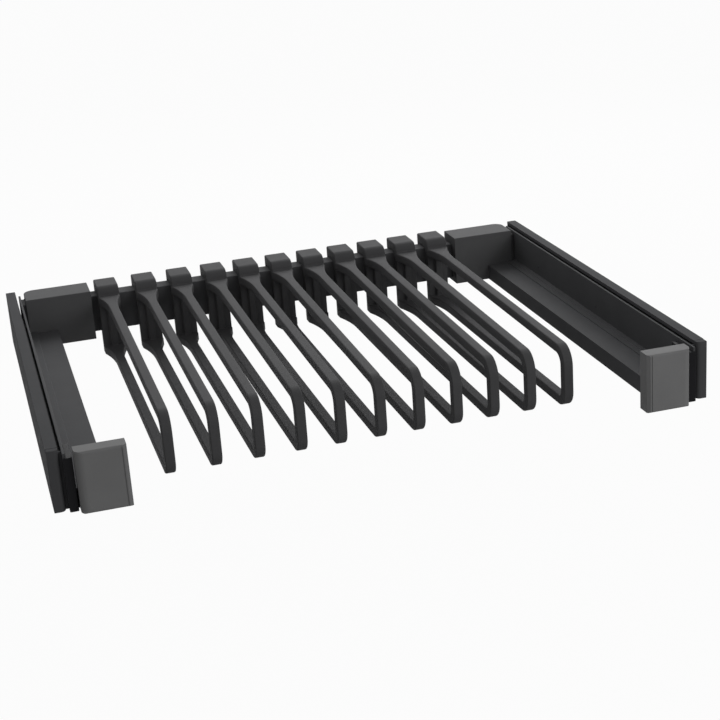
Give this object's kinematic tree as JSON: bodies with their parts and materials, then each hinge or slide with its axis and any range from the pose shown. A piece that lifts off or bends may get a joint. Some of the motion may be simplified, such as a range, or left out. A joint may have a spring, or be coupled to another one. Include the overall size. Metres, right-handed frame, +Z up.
{
  "type": "pull-out trouser rack",
  "caption": "Pull-out wardrobe rack with side slides, a rear rail and a row of loop hangers for trousers.",
  "frame": {"origin": "middle of the rack between the cabinet sides and from front to back, level with the bottom of the hanging loops", "axes": "+X to the right seen from the front, -Y out of the wardrobe along the pull-out travel, +Z up"},
  "size_m": [0.564, 0.465, 0.0718],
  "materials": {
    "housing_finish": "charcoal powder coat, matt, on folded steel",
    "profile_finish": "charcoal powder coat, matt, on extruded aluminium",
    "cap_plastic": "charcoal moulded plastic, fine matt texture",
    "hanger_finish": "charcoal powder coat, matt, on die-cast metal",
    "slide_steel": "zinc-plated rolled steel",
    "cage_steel": "thin zinc-plated steel strip",
    "ball_steel": "polished steel",
    "dark_plastic": "black moulded plastic",
    "black_fastener": "blackened steel"
  },
  "bodies": {
    "side_housings": {"side_housing_left": "housing_finish", "side_housing_right": "housing_finish", "outer_slide_member_left": "slide_steel", "outer_slide_member_right": "slide_steel", "slide_rivets": "black_fastener", "rear_end_cap_left": "dark_plastic", "rear_end_cap_right": "dark_plastic", "soft_close_unit_left": "dark_plastic", "soft_close_unit_right": "dark_plastic"},
    "pull_out_frame": {"inner_slide_member_left": "slide_steel", "inner_slide_member_right": "slide_steel", "slide_end_plate_left": "cap_plastic", "slide_end_plate_right": "cap_plastic", "side_profile_left": "profile_finish", "side_profile_right": "profile_finish", "front_bracket_left": "dark_plastic", "front_bracket_right": "dark_plastic", "front_cap_left": "cap_plastic", "front_cap_right": "cap_plastic", "corner_block_left": "cap_plastic", "corner_block_right": "cap_plastic", "rear_rail": "profile_finish", "profile_screws": "black_fastener", "cap_screws": "black_fastener", "block_screws": "black_fastener", "rail_screws": "black_fastener"},
    "middle_slide_left": {"middle_slide_member_left": "slide_steel"},
    "outer_cage_left": {"outer_ball_cage_left": "cage_steel", "outer_balls_left": "ball_steel"},
    "inner_cage_left": {"inner_ball_cage_left": "cage_steel", "inner_balls_left": "ball_steel"},
    "middle_slide_right": {"middle_slide_member_right": "slide_steel"},
    "outer_cage_right": {"outer_ball_cage_right": "cage_steel", "outer_balls_right": "ball_steel"},
    "inner_cage_right": {"inner_ball_cage_right": "cage_steel", "inner_balls_right": "ball_steel"},
    "hanger_01": {"trouser_hanger_01": "hanger_finish"},
    "hanger_02": {"trouser_hanger_02": "hanger_finish"},
    "hanger_03": {"trouser_hanger_03": "hanger_finish"},
    "hanger_04": {"trouser_hanger_04": "hanger_finish"},
    "hanger_05": {"trouser_hanger_05": "hanger_finish"},
    "hanger_06": {"trouser_hanger_06": "hanger_finish"},
    "hanger_07": {"trouser_hanger_07": "hanger_finish"},
    "hanger_08": {"trouser_hanger_08": "hanger_finish"},
    "hanger_09": {"trouser_hanger_09": "hanger_finish"},
    "hanger_10": {"trouser_hanger_10": "hanger_finish"},
    "hanger_11": {"trouser_hanger_11": "hanger_finish"}
  },
  "joints": [
    {"name": "pull_out", "type": "slide", "parent": "side_housings", "child": "pull_out_frame", "axis": [0, -1, 0], "range_m": [0, 0.44]},
    {"name": "middle_slide_left_travel", "type": "slide", "parent": "side_housings", "child": "middle_slide_left", "axis": [0, -1, 0], "range_m": [0, 0.22]},
    {"name": "outer_cage_left_travel", "type": "slide", "parent": "side_housings", "child": "outer_cage_left", "axis": [0, -1, 0], "range_m": [0, 0.11]},
    {"name": "inner_cage_left_travel", "type": "slide", "parent": "side_housings", "child": "inner_cage_left", "axis": [0, -1, 0], "range_m": [0, 0.33]},
    {"name": "middle_slide_right_travel", "type": "slide", "parent": "side_housings", "child": "middle_slide_right", "axis": [0, -1, 0], "range_m": [0, 0.22]},
    {"name": "outer_cage_right_travel", "type": "slide", "parent": "side_housings", "child": "outer_cage_right", "axis": [0, -1, 0], "range_m": [0, 0.11]},
    {"name": "inner_cage_right_travel", "type": "slide", "parent": "side_housings", "child": "inner_cage_right", "axis": [0, -1, 0], "range_m": [0, 0.33]},
    {"name": "hanger_01_slide", "type": "slide", "parent": "pull_out_frame", "child": "hanger_01", "axis": [1, 0, 0], "range_m": [-0.0069, 0.0084]},
    {"name": "hanger_02_slide", "type": "slide", "parent": "pull_out_frame", "child": "hanger_02", "axis": [1, 0, 0], "range_m": [-0.0084, 0.0072]},
    {"name": "hanger_03_slide", "type": "slide", "parent": "pull_out_frame", "child": "hanger_03", "axis": [1, 0, 0], "range_m": [-0.0072, 0.0071]},
    {"name": "hanger_04_slide", "type": "slide", "parent": "pull_out_frame", "child": "hanger_04", "axis": [1, 0, 0], "range_m": [-0.0071, 0.0063]},
    {"name": "hanger_05_slide", "type": "slide", "parent": "pull_out_frame", "child": "hanger_05", "axis": [1, 0, 0], "range_m": [-0.0063, 0.0065]},
    {"name": "hanger_06_slide", "type": "slide", "parent": "pull_out_frame", "child": "hanger_06", "axis": [1, 0, 0], "range_m": [-0.0065, 0.0061]},
    {"name": "hanger_07_slide", "type": "slide", "parent": "pull_out_frame", "child": "hanger_07", "axis": [1, 0, 0], "range_m": [-0.0061, 0.0059]},
    {"name": "hanger_08_slide", "type": "slide", "parent": "pull_out_frame", "child": "hanger_08", "axis": [1, 0, 0], "range_m": [-0.0059, 0.0057]},
    {"name": "hanger_09_slide", "type": "slide", "parent": "pull_out_frame", "child": "hanger_09", "axis": [1, 0, 0], "range_m": [-0.0057, 0.0059]},
    {"name": "hanger_10_slide", "type": "slide", "parent": "pull_out_frame", "child": "hanger_10", "axis": [1, 0, 0], "range_m": [-0.0059, 0.0063]},
    {"name": "hanger_11_slide", "type": "slide", "parent": "pull_out_frame", "child": "hanger_11", "axis": [1, 0, 0], "range_m": [-0.0063, 0.0088]}
  ],
  "couplings": [
    {"joint": "middle_slide_left_travel", "follows": "pull_out", "ratio": 0.5},
    {"joint": "outer_cage_left_travel", "follows": "pull_out", "ratio": 0.25},
    {"joint": "inner_cage_left_travel", "follows": "pull_out", "ratio": 0.75},
    {"joint": "middle_slide_right_travel", "follows": "pull_out", "ratio": 0.5},
    {"joint": "outer_cage_right_travel", "follows": "pull_out", "ratio": 0.25},
    {"joint": "inner_cage_right_travel", "follows": "pull_out", "ratio": 0.75}
  ]
}
